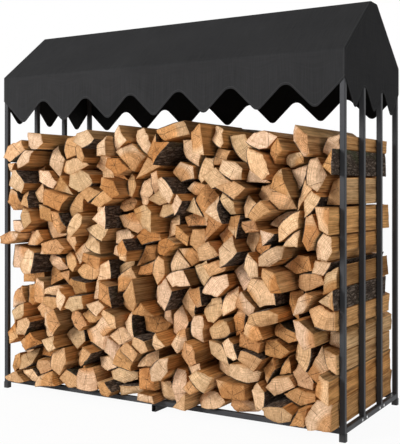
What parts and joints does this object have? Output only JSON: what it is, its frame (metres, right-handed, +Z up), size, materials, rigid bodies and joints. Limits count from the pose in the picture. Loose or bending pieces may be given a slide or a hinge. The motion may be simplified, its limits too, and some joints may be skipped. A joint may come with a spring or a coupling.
{
  "type": "covered firewood rack, filled with split logs",
  "caption": "Open square-tube steel log store with a gabled fabric cover and scalloped valance, filled with split firewood laid front to back.",
  "frame": {"origin": "on the ground, under the middle of the centre bearer: half way between the end frames and between the front and back posts", "axes": "+X along the length to the right seen from the front, +Y from front to back, +Z up"},
  "size_m": [1.2046, 0.5631, 1.1953],
  "materials": {
    "powder_coated_steel": "satin black powder coat",
    "woven_cover": "coated plain weave, dark grey outside",
    "foot_cap": "black moulded plastic",
    "split_firewood": "raw split hardwood, some with dark bark",
    "zinc_plated_screw": "bright zinc plating, on the screw heads of the end rails"
  },
  "bodies": {
    "root": {"back_bottom_rail": "powder_coated_steel", "back_eave_rail": "powder_coated_steel", "centre_bearer": "powder_coated_steel", "cover_back_slope": "woven_cover", "cover_back_valance": "woven_cover", "cover_crown": "woven_cover", "cover_front_slope": "woven_cover", "cover_front_valance": "woven_cover", "cover_left_end": "woven_cover", "cover_right_end": "woven_cover", "firewood_tier_01": "split_firewood", "firewood_tier_02": "split_firewood", "firewood_tier_03": "split_firewood", "firewood_tier_04": "split_firewood", "firewood_tier_05": "split_firewood", "firewood_tier_06": "split_firewood", "firewood_tier_07": "split_firewood", "firewood_tier_08": "split_firewood", "firewood_tier_09": "split_firewood", "firewood_tier_10": "split_firewood", "firewood_tier_11": "split_firewood", "firewood_tier_12": "split_firewood", "foot_caps": "foot_cap", "front_bottom_rail": "powder_coated_steel", "front_eave_rail": "powder_coated_steel", "left_back_post": "powder_coated_steel", "left_back_rafter": "powder_coated_steel", "left_bar_1": "powder_coated_steel", "left_bar_2": "powder_coated_steel", "left_bottom_rail": "powder_coated_steel", "left_front_post": "powder_coated_steel", "left_front_rafter": "powder_coated_steel", "left_top_rail": "powder_coated_steel", "middle_back_rafter": "powder_coated_steel", "middle_front_rafter": "powder_coated_steel", "ridge_beam": "powder_coated_steel", "right_back_post": "powder_coated_steel", "right_back_rafter": "powder_coated_steel", "right_bar_1": "powder_coated_steel", "right_bar_2": "powder_coated_steel", "right_bottom_rail": "powder_coated_steel", "right_front_post": "powder_coated_steel", "right_front_rafter": "powder_coated_steel", "right_top_rail": "powder_coated_steel"}
  },
  "joints": []
}
